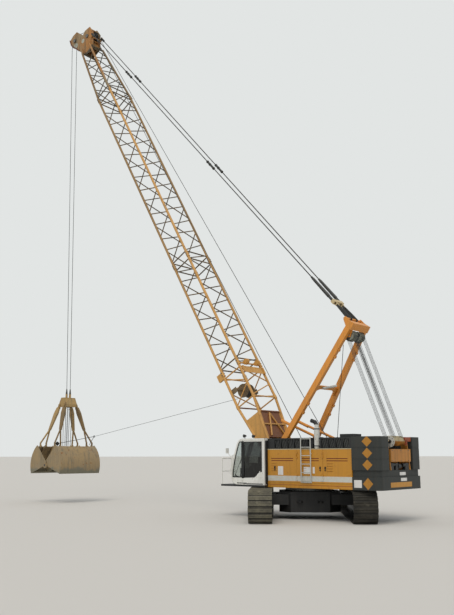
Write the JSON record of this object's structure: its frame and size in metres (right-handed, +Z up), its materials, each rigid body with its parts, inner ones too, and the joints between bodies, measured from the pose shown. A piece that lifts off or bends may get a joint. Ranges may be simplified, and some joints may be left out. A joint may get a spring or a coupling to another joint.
{
  "type": "crawler crane",
  "caption": "Crawler crane with a lattice boom, luffing gantry and pendants, slewing upper structure with side doors, and a two-jaw rope grab hanging from the boom head.",
  "frame": {"origin": "on the ground, below the middle of the box round the whole machine", "axes": "+X forward along the boom, +Y to the cab side, +Z up"},
  "size_m": [20.4948, 8.0868, 26.2515],
  "materials": {
    "orange_paint": "semi-gloss, dusty",
    "sand_paint": "matte, weathered, with rust at the edges",
    "white_paint": "semi-gloss",
    "black_paint": "satin",
    "grey_green_paint": "matte",
    "worn_steel": "oiled, dull",
    "cast_steel": "dry mud over dark steel",
    "tinted_glass": "clear, tinted",
    "seat_cloth": "woven",
    "lamp_plastic": "matte"
  },
  "bodies": {
    "undercarriage": {"carbody": "black_paint", "track_frames": "black_paint", "track_left": "cast_steel", "track_right": "cast_steel", "drive_sprockets": "cast_steel", "idlers": "cast_steel", "rollers": "cast_steel", "travel_drives": "black_paint", "slewing_ring": "worn_steel"},
    "upper": {"main_frame": "grey_green_paint", "house_frame": "orange_paint", "house_panels": "orange_paint", "machinery_cover": "black_paint", "exhaust": "worn_steel", "engine": "grey_green_paint", "fuel_tank": "orange_paint", "winches": "black_paint", "boom_hoist_winch": "worn_steel", "winch_frame": "orange_paint", "tackle_block": "worn_steel", "counterweight_base": "grey_green_paint", "counterweight_left": "grey_green_paint", "counterweight_right": "grey_green_paint", "cab": "white_paint", "cab_glass": "tinted_glass", "cab_seat": "seat_cloth", "cab_console": "lamp_plastic", "ladder": "worn_steel", "walkways": "black_paint", "handrails": "white_paint", "work_lamps": "lamp_plastic", "backstops": "orange_paint"},
    "cab_door": {"cab_door": "white_paint", "cab_door_glass": "tinted_glass"},
    "front_left_door": {"front_left_door": "orange_paint"},
    "rear_left_door": {"rear_left_door": "orange_paint"},
    "front_right_door": {"front_right_door": "orange_paint"},
    "rear_right_door": {"rear_right_door": "orange_paint"},
    "boom": {"boom_foot": "sand_paint", "boom_short_section": "sand_paint", "boom_long_section": "sand_paint", "boom_head": "sand_paint", "head_sheaves": "grey_green_paint", "grab_sheaves": "grey_green_paint", "tagline_winch": "worn_steel"},
    "pendants": {"pendants": "worn_steel", "pendant_yoke": "sand_paint"},
    "gantry": {"gantry_legs": "orange_paint", "gantry_head": "orange_paint", "gantry_sheaves": "worn_steel", "gantry_links": "black_paint"},
    "hoist_lines": {"grab_ropes": "worn_steel"},
    "grab_head": {"grab_head": "sand_paint"},
    "grab_arms_front": {"grab_arms_front": "sand_paint"},
    "grab_arms_rear": {"grab_arms_rear": "sand_paint"},
    "grab_block": {"grab_block": "grey_green_paint"},
    "grab_jaw_front": {"grab_jaw_front": "sand_paint"},
    "grab_jaw_rear": {"grab_jaw_rear": "sand_paint"}
  },
  "joints": [
    {"name": "slew", "type": "hinge", "parent": "undercarriage", "child": "upper", "pos_m": [-6.21748, 0, 1.16], "axis": [0, 0, 1], "continuous": true},
    {"name": "boom_luff", "type": "hinge", "parent": "upper", "child": "boom", "pos_m": [-5.16748, 0, 1.91], "axis": [0, 1, 0], "range_deg": [-14, 30]},
    {"name": "gantry_swing", "type": "hinge", "parent": "upper", "child": "gantry", "pos_m": [-5.59748, 0, 2.55], "axis": [0, 1, 0], "range_deg": [-16.01, 34.29]},
    {"name": "pendant_swing", "type": "hinge", "parent": "boom", "child": "pendants", "pos_m": [7.63398, 0, 25.52278], "axis": [0, 1, 0], "range_deg": [-0.281, 0.142]},
    {"name": "hoist_line_hang", "type": "hinge", "parent": "boom", "child": "hoist_lines", "pos_m": [9.26848, 0, 25.73381], "axis": [0, 1, 0], "range_deg": [-30.02, 14.02]},
    {"name": "grab_hoist", "type": "slide", "parent": "hoist_lines", "child": "grab_head", "axis": [0, 0, 1], "range_m": [-1.4, 18], "deforming": ["grab_ropes"]},
    {"name": "block_lift", "type": "slide", "parent": "grab_head", "child": "grab_block", "axis": [0, 0, 1], "range_m": [-0.001, 1.3469]},
    {"name": "grab_close", "type": "hinge", "parent": "grab_block", "child": "grab_jaw_front", "pos_m": [9.01748, 0, 1.86], "axis": [0, 1, 0], "range_deg": [0, 70]},
    {"name": "rear_jaw", "type": "hinge", "parent": "grab_block", "child": "grab_jaw_rear", "pos_m": [9.01748, 0, 1.86], "axis": [0, 1, 0], "range_deg": [-70.02, 0.02]},
    {"name": "front_arms_swing", "type": "hinge", "parent": "grab_head", "child": "grab_arms_front", "pos_m": [9.23748, 0, 4.91], "axis": [0, 1, 0], "range_deg": [-14.22, 0.02]},
    {"name": "rear_arms_swing", "type": "hinge", "parent": "grab_head", "child": "grab_arms_rear", "pos_m": [8.79748, 0, 4.91], "axis": [0, 1, 0], "range_deg": [-0.02, 14.22]},
    {"name": "cab_door_hinge", "type": "hinge", "parent": "upper", "child": "cab_door", "pos_m": [-4.27348, 1.683, 2.1], "axis": [0, 0, -1], "range_deg": [0, 100]},
    {"name": "front_left_hinge", "type": "hinge", "parent": "upper", "child": "front_left_door", "pos_m": [-6.73448, 1.523, 2], "axis": [0, 0, 1], "range_deg": [0, 95]},
    {"name": "rear_left_hinge", "type": "hinge", "parent": "upper", "child": "rear_left_door", "pos_m": [-7.91048, 1.523, 2], "axis": [0, 0, -1], "range_deg": [0, 95]},
    {"name": "front_right_hinge", "type": "hinge", "parent": "upper", "child": "front_right_door", "pos_m": [-6.73448, -1.523, 2], "axis": [0, 0, -1], "range_deg": [0, 95]},
    {"name": "rear_right_hinge", "type": "hinge", "parent": "upper", "child": "rear_right_door", "pos_m": [-7.91048, -1.523, 2], "axis": [0, 0, 1], "range_deg": [0, 95]}
  ],
  "couplings": [
    {"joint": "gantry_swing", "follows": "boom_luff", "ratio": 1.1424},
    {"joint": "pendant_swing", "follows": "boom_luff", "ratio": -0.0087},
    {"joint": "hoist_line_hang", "follows": "boom_luff", "ratio": -1},
    {"joint": "rear_jaw", "follows": "grab_close", "ratio": -1},
    {"joint": "block_lift", "follows": "grab_close", "m_per_rad": 1.1008},
    {"joint": "front_arms_swing", "follows": "grab_close", "ratio": -0.2029},
    {"joint": "rear_arms_swing", "follows": "grab_close", "ratio": 0.2029}
  ]
}
